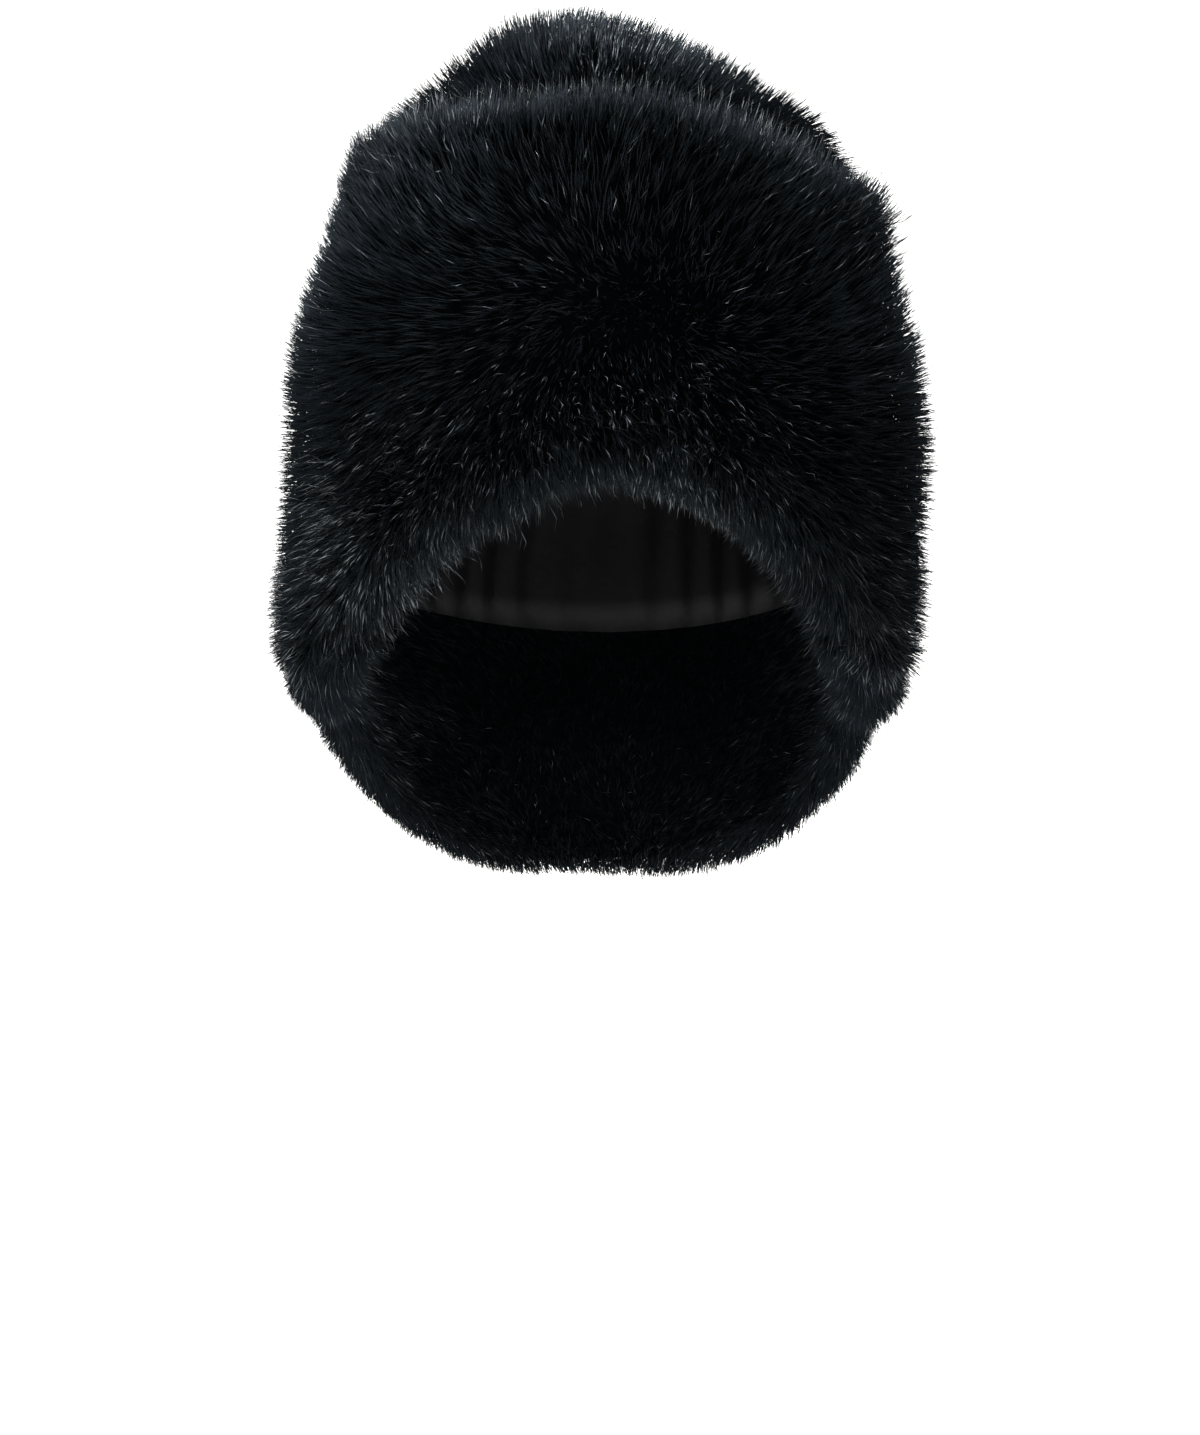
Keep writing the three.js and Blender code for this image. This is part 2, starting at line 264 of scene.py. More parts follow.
def closed_skin(name, rings, poles, material):
    """Closed smooth mesh over rings of points in millimetres: four-sided cells between each
    ring and the next, and at both ends a fan to a pole or, without poles, one face."""
    count, columns = rings.shape[:2]
    corner = np.arange(count * columns).reshape(count, columns)
    beside = np.roll(corner, -1, axis=1)
    faces = np.stack([corner[:-1], corner[1:], beside[1:], beside[:-1]], axis=-1).reshape(-1, 4).tolist()
    points = rings.reshape(-1, 3)
    if poles is None:
        faces += [corner[0].tolist(), corner[-1][::-1].tolist()]
    else:
        first, last = count * columns, count * columns + 1
        points = np.concatenate([points, poles])
        faces += [[first, a, b] for a, b in zip(corner[0], beside[0])]
        faces += [[last, b, a] for a, b in zip(corner[-1], beside[-1])]
    mesh = bpy.data.meshes.new(name)
    mesh.from_pydata((points * MM).tolist(), [], faces)
    mesh.polygons.foreach_set("use_smooth", np.ones(len(faces), bool))
    quads = np.array(faces[: (count - 1) * columns])
    a, b, c, d = (points[quads[:, i]] for i in range(4))
    if (np.cross(c - a, d - b) * (a + b + c + d)).sum() < 0:
        mesh.flip_normals()
    mesh.validate()
    mesh.materials.append(material)
    piece = bpy.data.objects.new(name, mesh)
    bpy.context.scene.collection.objects.link(piece)
    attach(piece, "root")
    return piece


round_crown = np.linspace(-180, 180, 96, endpoint=False)
down_crown = np.linspace(0.02, 1, 34)[:, None]
backing_rings = np.concatenate(
    [
        crown_face(round_crown, down_crown, PILE_DEPTH),
        crown_inside(round_crown, down_crown[::-2], -LINING_GAP),
    ]
)
top_lean = SECTIONS["lean"][0]
top_height = SECTIONS["height"][0]
backing_poles = np.array(
    [[top_lean, 0, top_height - PILE_DEPTH + 2], [top_lean, 0, top_height - CROWN_WALL + 1.5]]
)
backing_material = knitted_backing()
crown_backing = closed_skin("crown_backing", backing_rings, backing_poles, backing_material)
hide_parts("crown")


# Crown lining: thin black polyester cloth, sewn to the crown at the seam and loose above it,
# so it lies against the wadding in soft shallow folds that run up to the top.
# near black: the cloth's own black, made darker still as painted shade for the hollow it lines
LINING_BLACK_AND_SHADE = "#030304"
LINING_CLOTH = 0.8    # its two sides lie this far apart, for its hem and seam allowances
LINING_FOLD = 0.7     # how far a fold stands out
LINING_GATHER = 1.6   # how far a gather stands out at the seam
YARN_SPACING = 0.8    # coarser than the real weave, so that it shows
WAVE_TURN = 0.314     # a wave texture at this scale repeats once in each unit of length


def lining_cloth():
    """Plain woven polyester lining: smooth filament yarn, so it has a dull satin gloss and an
    even fine weave, the product of one set of waves across and one set up and down."""
    material, tree = new_material("polyester_lining")
    place = add_node(tree, "ShaderNodeTexCoord")
    warp = add_node(
        tree,
        "ShaderNodeTexWave",
        [("Vector", place.outputs["Object"])],
        bands_direction="X",
        Scale=WAVE_TURN / (YARN_SPACING * MM),
        Distortion=0.4,
    )
    weft = add_node(
        tree,
        "ShaderNodeTexWave",
        [("Vector", place.outputs["Object"])],
        bands_direction="Z",
        Scale=WAVE_TURN / (YARN_SPACING * MM),
        Distortion=0.4,
    )
    weave = add_node(
        tree,
        "ShaderNodeMath",
        [(0, warp.outputs["Fac"]), (1, weft.outputs["Fac"])],
        operation="MULTIPLY",
    )
    relief = add_node(
        tree, "ShaderNodeBump", [("Height", weave.outputs["Value"])], Strength=0.35, Distance=0.15 * MM
    )
    shader = add_node(
        tree,
        "ShaderNodeBsdfPrincipled",
        [("Normal", relief.outputs["Normal"])],
        Base_Color=linear(LINING_BLACK_AND_SHADE),
        Roughness=0.5,
        Specular_IOR_Level=0.06,
    )
    add_node(tree, "ShaderNodeOutputMaterial", [("Surface", shader.outputs["BSDF"])])
    return material


def lining_fold(angle, down):
    """How far the lining stands in: 9 and 23 shallow waves round the crown, flat at the seam,
    and the 31 small gathers that it is sewn down in, which die out up to a down of 0.6."""
    waves = np.sin(np.radians(9 * angle) + 3 * down) + 0.6 * np.sin(np.radians(23 * angle) - 5 * down)
    loose = LINING_FOLD * (1 + waves / 2) * ramp(down, 1, 0.8) * ramp(down, 0.05, 0.3)
    pulls = np.sin(np.radians(31 * angle) + 2 * np.sin(np.radians(5 * angle)))
    return loose + LINING_GATHER * (1 + pulls) / 2 * ramp(down, 0.6, 0.97)


lining_round = np.linspace(-180, 180, 180, endpoint=False)
lining_down = np.linspace(0.03, 1.015, 24)[:, None]
lining_rings = np.concatenate(
    [
        crown_inside(lining_round, down, side + lining_fold(lining_round, down))
        for down, side in ((lining_down, 0), (lining_down[::-1], LINING_CLOTH))
    ]
)
lining_poles = np.array(
    [[top_lean, 0, top_height - CROWN_WALL + 0.9], [top_lean, 0, top_height - CROWN_WALL]]
)
crown_lining = closed_skin("crown_lining", lining_rings, lining_poles, lining_cloth())
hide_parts("crown")


# Crown pile: modacrylic fibres 11 to 16 mm long, held in the knit and brushed up, so they stand
# off the dome in small locks. They are spindles: thin at the root, widest half way up, with a
# fine tip. One in twelve is a guard hair, longer, thinner and glossier than the rest.
FIBRE_ROOT = "#020304"
PILE_TIP = "#252a2e"
GUARD_TIP = "#101418"
# Painted highlight: the colour of the short glints painted on a share of the fibres.
PAINTED_GLINT = "#7d858b"
DULLEST = 0.1         # share of the tip's colour that a fibre of tone 0 takes: the darkest, by chance or in painted shade
GLINT_HEIGHTS = (0.55, 0.9)
GLINT_REACH = 0.18    # share of a fibre's length that a glint dies out in, each way
GLINT_TURNS = 37.0    # a painted glint's height follows the fraction of its fibre's tone and painted light times this
SWIRL_SIZE = 28.0     # size of the patches that the pile lies one way in
TUFT_SIZE = 11.0      # size of the lighter and darker tufts in it
SWIRL_TONE = 0.35     # how far a patch is lighter or darker than the rest, and how far a tuft
TUFT_TONE = 0.45
SWIRL_LENGTH = 0.12   # how far a patch's fibres are longer or shorter, and how far a fibre alone
OWN_LENGTH = 0.13
LENGTH_LIMITS = (0.6, 1.35)
ROOT_DEPTH = 2.5      # a fibre starts this far below the face of the backing
ROOT_LIE = 0.35       # share of the nap that it already has there, and of its own spread
ROOT_SPREAD = 0.5
LATTICE_MIX = (73856093, 19349663, 83492791)  # large primes, one for each direction
SCATTER_CELLS = (120, 80)
chance = np.random.default_rng(20)
lattice = chance.random((8192, 3))


def corner_value(corners):
    """Three random numbers for each corner of a cubic lattice, looked up by a mixed index."""
    index = (corners * np.array(LATTICE_MIX)).astype(np.int64)
    return lattice[(index[..., 0] ^ index[..., 1] ^ index[..., 2]) % len(lattice)]


def soft_noise(points, size):
    """Smooth random vectors from -1 to 1: random values at the corners of a lattice of this
    size, blended across each cell by S-shaped weights."""
    cell = np.floor(points / size).astype(np.int64)
    weight = ramp(points / size - cell, 0, 1)
    total = 0
    for corner in np.ndindex(2, 2, 2):
        share = np.prod(np.where(corner, weight, 1 - weight), axis=-1, keepdims=True)
        total = total + share * corner_value(cell + np.array(corner))
    return 2 * total - 1


def nearest_lock(points, size):
    """The middle of the lock that each point belongs to, and three random numbers of that lock:
    locks stand at random in the cells of a lattice, and a point takes the nearest."""
    cell = np.floor(points / size).astype(np.int64)
    best = np.full(points.shape[:-1], np.inf)
    middle = np.zeros_like(points)
    character = np.zeros_like(points)
    for step in np.ndindex(3, 3, 3):
        beside = cell + np.array(step) - 1
        value = corner_value(beside)
        place = (beside + value) * size
        far = np.linalg.norm(points - place, axis=-1)
        closer = far < best
        best = np.where(closer, far, best)
        middle = np.where(closer[..., None], place, middle)
        character = np.where(closer[..., None], 2 * value[..., ::-1] - 1, character)
    return middle, character


def scatter(face, round_range, down_range, count, weight):
    """Random places on a face, as likely as its area times a weight: cells of a fine grid are
    drawn by area, and each place lies anywhere in its cell."""
    angle = np.linspace(*round_range, SCATTER_CELLS[0] + 1)
    down = np.linspace(*down_range, SCATTER_CELLS[1] + 1)[:, None]
    grid = face(angle, down, 0.0)
    side = grid[1:, :-1] - grid[:-1, :-1]
    along = grid[:-1, 1:] - grid[:-1, :-1]
    middle_angle, middle_down = (angle[1:] + angle[:-1]) / 2, (down[1:] + down[:-1]) / 2
    area = np.linalg.norm(np.cross(side, along), axis=-1) * weight(middle_angle, middle_down)
    cells = chance.choice(area.size, size=count, p=(area / area.sum()).ravel())
    row, column = np.divmod(cells, area.shape[1])
    angles = angle[column] + chance.random(count) * (angle[1] - angle[0])
    downs = down[row, 0] + chance.random(count) * (down[1, 0] - down[0, 0])
    return angles, downs


def grow_pile(name, face, round_range, down_range, nap, look, count, weight, material):
    """Fibres on a face. Each leaves the backing along its start direction, turns evenly into the
    nap's direction, bows a little to one side, and its tip is drawn towards its lock. It is
    swept as three-sided rings round that line, closed by a point at the root and one at the tip."""
    angle, down = scatter(face, round_range, down_range, count, weight)
    root = face(angle, down, PILE_DEPTH + ROOT_DEPTH)
    out = unit(face(angle, down, 0.0) - face(angle, down, PILE_DEPTH))
    along = unit(face(angle, down + 0.01, PILE_DEPTH) - face(angle, down - 0.01, PILE_DEPTH))
    across = unit(face(angle + 1, down, PILE_DEPTH) - face(angle - 1, down, PILE_DEPTH))
    lie_down, lie_round, stand, light = nap(angle, down)
    swirl = soft_noise(root, SWIRL_SIZE)
    middle, character = nearest_lock(root, look["lock"])
    own = chance.normal(size=(count, 3))
    turn = look["swirl"] * swirl[:, 0]
    lie = (lie_down * np.cos(turn) - lie_round * np.sin(turn))[:, None] * along
    lie = lie + (lie_round * np.cos(turn) + lie_down * np.sin(turn))[:, None] * across
    spread = look["lock_spread"] * character + look["own_spread"] * own
    start = unit(out + ROOT_LIE * lie + ROOT_SPREAD * spread)
    end = unit(stand[:, None] * out + lie + spread)
    length = 1 + SWIRL_LENGTH * swirl[:, 1] + OWN_LENGTH * own[:, 0]
    length = look["length"] * length.clip(*LENGTH_LIMITS)
    gather = (middle - root) - ((middle - root) * out).sum(-1, keepdims=True) * out
    gather = look["gather"] * gather.clip(-look["lock"], look["lock"])
    stations = look["stations"]
    points = [root]
    for share, width in stations:
        bend = share * share / 2
        line = root + length[:, None] * (start * (share - bend) + end * bend) + gather * share**2
        line = line + look["bow"] * length[:, None] * share * (1 - share) * own
        heading = unit(start * (1 - share) + end * share)
        side = unit(np.cross(heading, own + 1e-3))
        other = np.cross(heading, side)
        for turn_round in (0, 2 * np.pi / 3, 4 * np.pi / 3):
            radius = width * look["width"] / 2
            points.append(line + radius * (np.cos(turn_round) * side + np.sin(turn_round) * other))
    points.append(root + length[:, None] * (start + end) / 2 + gather)
    corners = np.stack(points, axis=1)
    per_fibre = corners.shape[1]
    faces = []
    for i in range(3):
        beside = (i + 1) % 3
        faces.append((0, 1 + beside, 1 + i))
        for ring in range(len(stations) - 1):
            a, b = 1 + 3 * ring + i, 1 + 3 * ring + beside
            faces += [(a, b, b + 3), (a, b + 3, a + 3)]
        last = 1 + 3 * (len(stations) - 1)
        faces.append((last + i, last + beside, per_fibre - 1))
    triangles = (np.arange(count)[:, None, None] * per_fibre + np.array(faces)).reshape(-1, 3)
    mesh = bpy.data.meshes.new(name)
    mesh.vertices.add(count * per_fibre)
    mesh.vertices.foreach_set("co", (corners * MM).astype(np.float32).ravel())
    mesh.loops.add(triangles.size)
    mesh.loops.foreach_set("vertex_index", triangles.astype(np.int32).ravel())
    mesh.polygons.add(len(triangles))
    mesh.polygons.foreach_set("loop_start", np.arange(0, triangles.size, 3, dtype=np.int32))
    mesh.polygons.foreach_set("use_smooth", np.ones(len(triangles), bool))
    shares = np.array([0.0, *np.repeat([share for share, _ in stations], 3), 1.0])
    # A fibre's tone mixes chance with painted light and shade: a random number times the nap's painted
    # light, times lighter and darker patches and tufts.
    patch = 1 + SWIRL_TONE * swirl[:, 2] + TUFT_TONE * soft_noise(root, TUFT_SIZE)[:, 0]
    tone_and_painted_light = np.repeat((chance.random(count) * light * patch).clip(0, 1), per_fibre)
    for attribute, values in (("along", np.tile(shares, count)), ("tone_and_painted_light", tone_and_painted_light)):
        layer = mesh.attributes.new(attribute, "FLOAT", "POINT")
        layer.data.foreach_set("value", values.astype(np.float32))
    mesh.update()
    mesh.materials.append(material)
    piece = bpy.data.objects.new(name, mesh)
    bpy.context.scene.collection.objects.link(piece)
    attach(piece, "root")


def modacrylic(name, tip, glint_share, gloss):
    """Dyed modacrylic fibre: near black at the root, greyer at the tip, and smooth like hair. How
    far a fibre greys follows its tone, which carries painted light and shade as well as chance.
    A share of the fibres carry a painted highlight: lighter over a short stretch, at a height
    that differs from one to the next, drawn as short glints where they would bend through the
    light."""
    material, tree = new_material(name)
    along = add_node(tree, "ShaderNodeAttribute", attribute_name="along")
    tone_and_painted_light = add_node(tree, "ShaderNodeAttribute", attribute_name="tone_and_painted_light")
    shade = add_node(
        tree, "ShaderNodeMapRange", [("Value", tone_and_painted_light.outputs["Fac"])], To_Min=DULLEST, To_Max=1.0
    )
    greyed = add_node(
        tree,
        "ShaderNodeMath",
        [(0, along.outputs["Fac"]), (1, shade.outputs["Result"])],
        operation="MULTIPLY",
    )
    body = add_node(
        tree,
        "ShaderNodeMixRGB",
        [("Fac", greyed.outputs["Value"])],
        Color1=linear(FIBRE_ROOT),
        Color2=linear(tip),
    )
    chosen = add_node(
        tree,
        "ShaderNodeMapRange",
        [("Value", tone_and_painted_light.outputs["Fac"])],
        From_Min=1 - glint_share,
        From_Max=1.0,
    )
    turned = add_node(
        tree, "ShaderNodeMapRange", [("Value", tone_and_painted_light.outputs["Fac"])], To_Min=0.0, To_Max=GLINT_TURNS
    )
    own_height = add_node(tree, "ShaderNodeMath", [(0, turned.outputs["Result"])], operation="FRACT")
    height = add_node(
        tree,
        "ShaderNodeMapRange",
        [("Value", own_height.outputs["Value"])],
        To_Min=GLINT_HEIGHTS[0],
        To_Max=GLINT_HEIGHTS[1],
    )
    off = add_node(
        tree,
        "ShaderNodeMath",
        [(0, along.outputs["Fac"]), (1, height.outputs["Result"])],
        operation="SUBTRACT",
    )
    distance = add_node(tree, "ShaderNodeMath", [(0, off.outputs["Value"])], operation="ABSOLUTE")
    near = add_node(
        tree,
        "ShaderNodeMapRange",
        [("Value", distance.outputs["Value"])],
        interpolation_type="SMOOTHSTEP",
        From_Max=GLINT_REACH,
        To_Min=1.0,
        To_Max=0.0,
    )
    glint = add_node(
        tree,
        "ShaderNodeMath",
        [(0, chosen.outputs["Result"]), (1, near.outputs["Result"])],
        operation="MULTIPLY",
    )
    colour = add_node(
        tree,
        "ShaderNodeMixRGB",
        [("Fac", glint.outputs["Value"]), ("Color1", body.outputs["Color"])],
        Color2=linear(PAINTED_GLINT),
    )
    shader = add_node(
        tree,
        "ShaderNodeBsdfPrincipled",
        [("Base Color", colour.outputs["Color"])],
        Roughness=0.35,
        Specular_IOR_Level=gloss,
    )
    add_node(tree, "ShaderNodeOutputMaterial", [("Surface", shader.outputs["BSDF"])])
    return material


pile_material = modacrylic("modacrylic_pile", PILE_TIP, glint_share=0.02, gloss=0.0)
guard_material = modacrylic("modacrylic_guard_hair", GUARD_TIP, glint_share=0.8, gloss=0.08)

# Swirl is how far the nap turns from patch to patch, in radians. The two spreads are how far a
# lock and a fibre alone lean off the nap, gather is how far the tips are drawn to the middle of
# their lock, and bow bends a fibre aside by that share of its length. A station is a ring of a
# fibre, at a share of its length, with a share of its width.
PILE = {
    "length": 12.5, "width": 0.33, "lock": 3.2, "swirl": 1.2, "lock_spread": 0.26, "own_spread": 0.26,
    "gather": 0.22, "bow": 0.18, "stations": [(0.44, 1.0)],
}
GUARD = {
    "length": 14.5, "width": 0.23, "lock": 4.0, "swirl": 1.2, "lock_spread": 0.26, "own_spread": 0.46,
    "gather": 0.3, "bow": 0.35, "stations": [(0.35, 1.0), (0.72, 0.85)],
}


# A nap says how far the pile lies down the hat, how far it lies round it, how far it stands up,
# and how light its fibres are painted: a plain value, with painted light and shade added in
# places. The first three are the parts of one direction, so only their ratios matter. An entry
# for a place is added to the plain values there.
CROWN_LIE = {"top": 0.1, "seam": 0.75, "front": 0.4, "side": 0.4, "back": 0.5}
CROWN_STAND = {"top": 1.3, "seam": 0.8, "side": -0.45, "back": -0.35}
# Painted light on the crown's pile: the plain value, a painted highlight on the crest, and painted shade
# in the hollows beside it, in front only.
CROWN_PAINTED_LIGHT = {"plain": 0.6, "crest": 0.4, "hollow": -0.55}
CREST_HIGHLIGHT_MIDDLE = 5       # the painted highlight on the crest is centred this far to the side
CREST_HIGHLIGHT_SIDES = (50, 15)


def crown_nap(angle, down):
    """On the dome the pile stands up, and it lies down more and more towards the seam, most at
    the sides, 80 degrees round, and at the back. The front of the crest is brushed forward over
    the top edge of the front flap. In front, the fibres on the crest are painted lighter as a
    painted highlight, and those in the hollows beside it darker as painted shade."""
    around = np.abs(from_front(angle))
    front = (bump(around, 20) + 0.3 * bump(around - 50, 20)) * ramp(down, 0.1, 0.25)
    side = bump(around - 80, 22) * ramp(down, 0.15, 0.35)
    back = ramp(around, 90, 150) * ramp(down, 0.05, 0.4)
    lie_down = lerp(CROWN_LIE["top"], CROWN_LIE["seam"], down)
    lie_down = lie_down + CROWN_LIE["front"] * front + CROWN_LIE["back"] * back + CROWN_LIE["side"] * side
    stand = lerp(CROWN_STAND["top"], CROWN_STAND["seam"], down)
    stand = stand + CROWN_STAND["back"] * back + CROWN_STAND["side"] * side
    # Painted light and shade: lighter on the front of the crest, darker in the hollows beside it.
    x = form_point(SECTIONS, angle, crown_height(angle, down))[..., 0]
    crest = ramp(np.abs(x - CREST_HIGHLIGHT_MIDDLE), *CREST_HIGHLIGHT_SIDES)
    light = CROWN_PAINTED_LIGHT["plain"]
    light = light + lerp(CROWN_PAINTED_LIGHT["hollow"], CROWN_PAINTED_LIGHT["crest"], crest) * ramp(around, 85, 55)
    return lie_down, 0 * angle, stand, light


def crown_shows(angle, down):
    """1 where the crown's outside can be seen, 0 deep behind the front flap: from 30 mm below
    the flap's top edge down, and within 66 degrees of the front."""
    height = crown_height(angle, down)
    hidden = (1 - ramp(np.abs(angle), 66, 76)) * ramp(ridge_height(angle) - height, 16, 30)
    return 1 - hidden


def crown_glints(angle, down):
    """Chance of a guard hair: highest on the front of the crest, where they stand up in a tuft,
    over three times the chance elsewhere."""
    tuft = bump(from_front(angle), 25) * ramp(down, 0.55, 0.35)
    return crown_shows(angle, down) * (0.6 + 1.4 * tuft)


CROWN_GUARD_HAIRS = 2800
CROWN_SECTORS = {
    "front": {"sweep": (-60, 60), "count": 11000, "length": 14.0},
    "right": {"sweep": (60, 120), "count": 8500, "length": 12.0},
    "back": {"sweep": (120, 240), "count": 14000, "length": 14.0},
    "left": {"sweep": (240, 300), "count": 8500, "length": 12.5},
}
for sector, part in CROWN_SECTORS.items():
    grow_pile(
        f"crown_pile_{sector}", crown_face, part["sweep"], (TOP_CLOSE, 1), crown_nap,
        PILE | {"length": part["length"]}, part["count"], crown_shows, pile_material,
    )
grow_pile(
    "crown_guard_hair", crown_face, (-180, 180), (TOP_CLOSE, 1), crown_nap, GUARD,
    CROWN_GUARD_HAIRS, crown_glints, guard_material,
)


# Neck flap: one U-shaped wall of the same fur, sewn to the crown's seam. It hangs down at the
# sides and lowest at the back, and has pile on its inner face too. Its lower edge is rounded.
# The first row mirrors the third, so that the edge is level at the very front.
RIM = np.array(
    [
        (-20, -134), (0, -122), (20, -134), (32, -147), (45, -166), (60, -186), (75, -200), (90, -212),
        (105, -239), (120, -270), (135, -294), (150, -306), (180, -312),
    ],
    dtype=[("angle", float), ("height", float)],
)
# A small rise in the lower edge at each side.
NOTCHES = [{"angle": 97, "width": 7, "depth": 7}, {"angle": -92, "width": 6, "depth": 5}]
NECK_WALL = 24        # thickness with the pile of both faces
NECK_START = 50.5     # the wall starts this far round, tucked in behind the front flap's fold
NECK_TUCK = 0.5       # its top goes this far up past the seam, so no gap shows
NECK_EDGE_PAD = 0.4   # its backing is sunk this share less at the lower edge
NECK_LIE = {"outside": 0.75, "inside": -0.6, "back": 0.4}
NECK_STAND = {"plain": 0.8, "back": -0.25}
NECK_LIGHT = 0.6


def rim_height(angle):
    """Height of the hat's lower edge: the table on either side, and a small rise at each notch."""
    around = from_front(angle)
    plain = smooth(RIM, "angle", "height", np.abs(around))
    for notch in NOTCHES:
        plain = plain + notch["depth"] * bump(around - notch["angle"], notch["width"])
    return plain


def neck_face(angle, down, sunk):
    """Point of the neck flap, sunk this far below its faces. Down runs down the outside to
    0.5, round the lower edge as half a circle to 0.6, and up the inside to 1."""
    top = seam_height(angle) + NECK_TUCK
    low = rim_height(angle) + NECK_WALL / 2
    share = np.where(down < 0.5, down / 0.5, np.where(down < 0.6, 1, (1 - down) / 0.4)).clip(0, 1)
    height = lerp(top, low, share)
    swing = np.pi * ((down - 0.5) / 0.1).clip(0, 1)
    wall = lerp(CROWN_WALL, NECK_WALL, ramp(share, 0, 0.6))
    half = wall / 2 - sunk * (1 - NECK_EDGE_PAD * np.sin(swing))
    out = -wall / 2 + half * np.cos(swing)
    return off_form(SECTIONS, angle, height - half * np.sin(swing), out)


neck_angles = np.linspace(NECK_START, 360 - NECK_START, 90)
neck_down = np.concatenate([np.linspace(0, 0.5, 16), np.linspace(0.51, 0.59, 7), np.linspace(0.6, 1, 16)])
neck_rings = neck_face(neck_angles[:, None], neck_down, PILE_DEPTH)
neck_backing = closed_skin("neck_flap_backing", neck_rings, None, backing_material)
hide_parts("neck_flap")


def neck_nap(angle, down):
    """The pile hangs down outside, most at the back, stands straight off the lower edge, and
    hangs down inside."""
    inside = ramp(down, 0.5, 0.62)
    back = ramp(np.abs(180 - angle), 90, 40) * (1 - inside)
    lie_down = lerp(NECK_LIE["outside"], NECK_LIE["inside"], inside) + NECK_LIE["back"] * back
    return lie_down, 0 * angle, NECK_STAND["plain"] + NECK_STAND["back"] * back, NECK_LIGHT


def neck_shows(angle, down):
    """More fibres round the lower edge, where they fan out, and fewer high up inside."""
    return 1 + 2.6 * bump(down - 0.56, 0.06) - 0.4 * ramp(down, 0.75, 0.9) + 0 * angle


NECK_GUARD_HAIRS = 2800
NECK_SECTORS = {
    "right": {"sweep": (NECK_START, 120), "down": (0, 0.56), "count": 10000},
    "back": {"sweep": (120, 240), "down": (0, 0.56), "count": 13500},
    "left": {"sweep": (240, 360 - NECK_START), "down": (0, 0.56), "count": 10000},
    "inside": {"sweep": (NECK_START, 360 - NECK_START), "down": (0.56, 1), "count": 15000},
}
for sector, part in NECK_SECTORS.items():
    grow_pile(
        f"neck_pile_{sector}", neck_face, part["sweep"], part["down"], neck_nap, PILE,
        part["count"], neck_shows, pile_material,
    )
grow_pile(
    "neck_guard_hair", neck_face, (NECK_START, 360 - NECK_START), (0, 0.8), neck_nap, GUARD,
    NECK_GUARD_HAIRS, neck_shows, guard_material,
)


# Front flap: a padded panel of the same fur, folded up against the crown from the hat's front
# edge. The fold turns in under the crown, and the free top edge stands a little off the dome.
FLAP_BASE = np.array(
    [(-10, 87), (-40, 91), (-87, 95), (-150, 98), (-190, 98.5)],
    dtype=[("height", float), ("front", float)],
)
# Slanting creases in the padding on the right, each between two places of angle and height.
CREASES = [
    {"top": (34, -48), "bottom": (46, -150), "width": 5, "depth": 4},
    {"top": (46, -98), "bottom": (58, -158), "width": 4, "depth": 3},
]
FLAP_PAD = 20         # thickness in front, over that of its thin side ends
FLAP_EDGE_PAD = 2.5
FLAP_HALF_SPAN = 80   # the padding dies out this far round, and the flap ends a little before
FLAP_SIDE_END = 77
FLAP_TAPER = 1.7      # a higher power thins its sides sooner
FLAP_EVEN = 0.86      # share of its thickness at the top and the fold, and the swell between
FLAP_SWELL = 0.56
FLAP_BACK = 14        # its back goes this far down behind the top edge
FLAP_DIVE = 6.5       # its side ends are sunk this far into the crown's pile
EDGE_REACH = 8        # an edge is as round as the flap is thick this far from it
TOP_ROUND = 0.55      # radius of the top edge and of the fold, as shares of that thickness
FOLD_ROUND = 0.45
FOLD_END = 50         # the flap is folded from the hat's edge this far round
FOLD_INSET = 20       # the fold turns in this far under the crown
SIDE_INSET = -1.5


def flap_low(angle):
    """Height of the fold: the hat's edge in front, rising to the seam at the sides."""
    lift = ramp(np.abs(angle), FOLD_END, FLAP_HALF_SPAN)
    return lerp(rim_height(angle), SEAM_SIDE - 4, lift)


def flap_pad(angle, height):
    """Thickness of the flap: full in front, dying out at the sides, less the creases."""
    side = (1 - (np.abs(angle) / FLAP_HALF_SPAN) ** 2).clip(0, 1) ** FLAP_TAPER
    top = ridge_height(angle)
    down = (top - height) / (top - flap_low(angle))
    pad = FLAP_EDGE_PAD + FLAP_PAD * side * (FLAP_EVEN + FLAP_SWELL * down * (1 - down))
    for crease in CREASES:
        share = (height - crease["top"][1]) / (crease["bottom"][1] - crease["top"][1])
        middle = lerp(crease["top"][0], crease["bottom"][0], share)
        along = ramp(share, -0.12, 0.15) * (1 - ramp(share, 0.8, 1.15))
        pad = pad - crease["depth"] * along * bump(angle - middle, crease["width"])
    return pad


def flap_share(down):
    """Share of the way down the flap's face: 0 at its top edge, 1 where the fold begins."""
    return ((down - 0.2) / 0.6).clip(0, 1)


